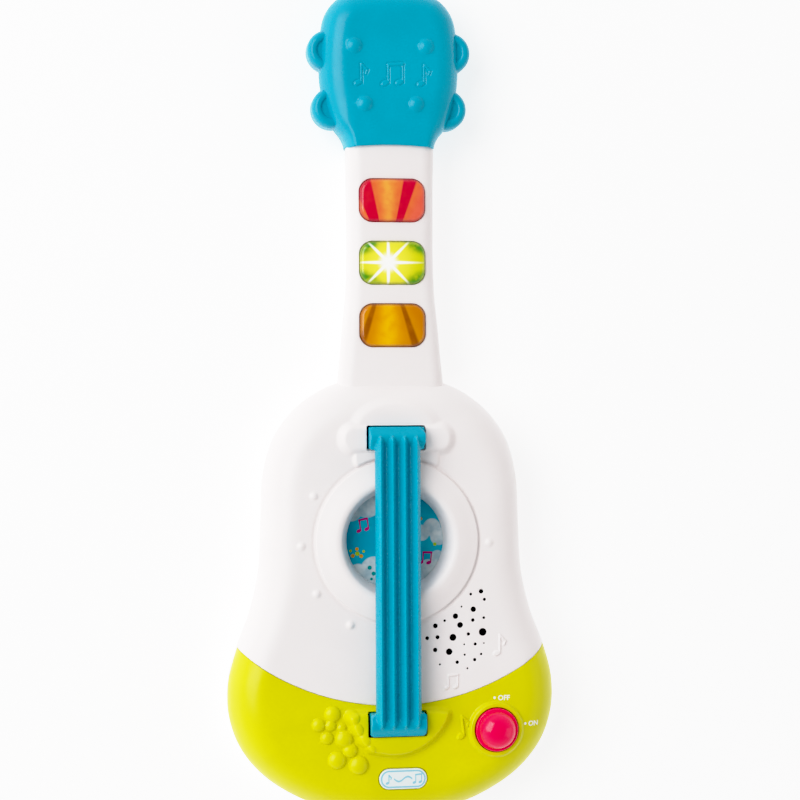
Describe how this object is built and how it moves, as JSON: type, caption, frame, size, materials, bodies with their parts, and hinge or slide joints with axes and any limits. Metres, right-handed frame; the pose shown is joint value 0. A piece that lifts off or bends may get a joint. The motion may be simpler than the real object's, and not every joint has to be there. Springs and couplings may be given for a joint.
{
  "type": "toy electric guitar",
  "caption": "Toddler's toy electric guitar: hollow moulded shells, light-up keys on the neck, a rocking strum bar over the sound ring, turning power knob, loudspeaker and battery bay.",
  "frame": {"origin": "middle of the bounding box's footprint, on the surface the guitar's back lies on", "axes": "+X to the right seen from the front, +Y up the neck to the head, +Z out of the front face"},
  "size_m": [0.1866, 0.469, 0.055],
  "materials": {
    "white_shell": "warm white moulded ABS, fine satin gloss",
    "lime_shell": "lime yellow moulded ABS, satin gloss",
    "blue_shell": "cyan blue moulded ABS, satin gloss",
    "pink_knob": "polished pink ABS",
    "red_lens": "translucent red polystyrene",
    "green_lens": "translucent green polystyrene, lit from below",
    "amber_lens": "translucent amber polystyrene",
    "printed_card": "printed disc and badge, coated",
    "silicone": "grey silicone rubber",
    "circuit_board": "green solder mask on glass fibre board",
    "black_part": "matt black plastic, cloth or paper cone",
    "steel": "zinc plated steel",
    "nickel": "nickel plated spring steel",
    "cell_jacket": "plain printed cell jacket",
    "red_wire": "red PVC insulation",
    "black_wire": "black PVC insulation",
    "grey_ribbon": "grey PVC ribbon cable"
  },
  "bodies": {
    "guitar": {"front_shell": "white_shell", "lower_front_cover": "lime_shell", "rear_shell": "white_shell", "head_front_shell": "blue_shell", "head_rear_shell": "blue_shell", "sound_ring": "white_shell", "sound_disc": "printed_card", "neck_board": "circuit_board", "red_key_dome": "silicone", "red_key_lamp": "red_lens", "green_key_dome": "silicone", "green_key_lamp": "green_lens", "amber_key_dome": "silicone", "amber_key_lamp": "amber_lens", "upper_pivot_bracket": "white_shell", "lower_pivot_bracket": "white_shell", "strum_dome_left": "silicone", "strum_dome_right": "silicone", "rotary_switch": "black_part", "badge": "printed_card", "main_board": "circuit_board", "sound_chip": "black_part", "board_capacitor": "cell_jacket", "speaker_frame": "steel", "speaker_cone": "black_part", "speaker_magnet": "steel", "speaker_clamp": "black_part", "speaker_cloth": "black_part", "speaker_screw_1": "steel", "speaker_screw_2": "steel", "battery_1": "cell_jacket", "battery_2": "cell_jacket", "battery_3": "cell_jacket", "battery_contact_negative": "nickel", "battery_contact_link_right": "nickel", "battery_contact_link_left": "nickel", "battery_contact_positive": "nickel", "battery_lead_red": "red_wire", "battery_lead_black": "black_wire", "speaker_lead": "black_wire", "neck_cable": "grey_ribbon", "case_screw_1": "steel", "case_screw_2": "steel", "case_screw_3": "steel", "case_screw_4": "steel", "case_screw_5": "steel", "case_screw_6": "steel", "case_screw_7": "steel", "case_screw_8": "steel", "case_screw_9": "steel", "case_screw_10": "steel", "case_screw_11": "steel"},
    "red_key": {"red_key": "red_lens"},
    "green_key": {"green_key": "green_lens"},
    "amber_key": {"amber_key": "amber_lens"},
    "strum_bar": {"strum_bar": "blue_shell"},
    "power_knob": {"power_knob": "pink_knob"},
    "battery_door": {"battery_door": "white_shell", "battery_door_screw": "steel"}
  },
  "joints": [
    {"name": "red_key_press", "type": "slide", "parent": "guitar", "child": "red_key", "axis": [0, 0, -1], "range_m": [0, 0.0015], "stiffness_N_per_m": 400, "springref_m": -0.001, "deforming": ["red_key_dome"]},
    {"name": "green_key_press", "type": "slide", "parent": "guitar", "child": "green_key", "axis": [0, 0, -1], "range_m": [0, 0.0015], "stiffness_N_per_m": 400, "springref_m": -0.001, "deforming": ["green_key_dome"]},
    {"name": "amber_key_press", "type": "slide", "parent": "guitar", "child": "amber_key", "axis": [0, 0, -1], "range_m": [0, 0.0015], "stiffness_N_per_m": 400, "springref_m": -0.001, "deforming": ["amber_key_dome"]},
    {"name": "strum_rock", "type": "hinge", "parent": "guitar", "child": "strum_bar", "pos_m": [0, -0.0997, 0.03], "axis": [0, 1, 0], "range_deg": [-3.5, 3.5], "stiffness_Nm_per_rad": 0.6, "deforming": ["strum_dome_left", "strum_dome_right"]},
    {"name": "power_turn", "type": "hinge", "parent": "guitar", "child": "power_knob", "pos_m": [0.0566, -0.1846, 0.03], "axis": [0, 0, 1], "range_deg": [0, 84]},
    {"name": "battery_door_lift", "type": "slide", "parent": "guitar", "child": "battery_door", "axis": [0, 0, -1], "range_m": [0, 0.02]}
  ]
}
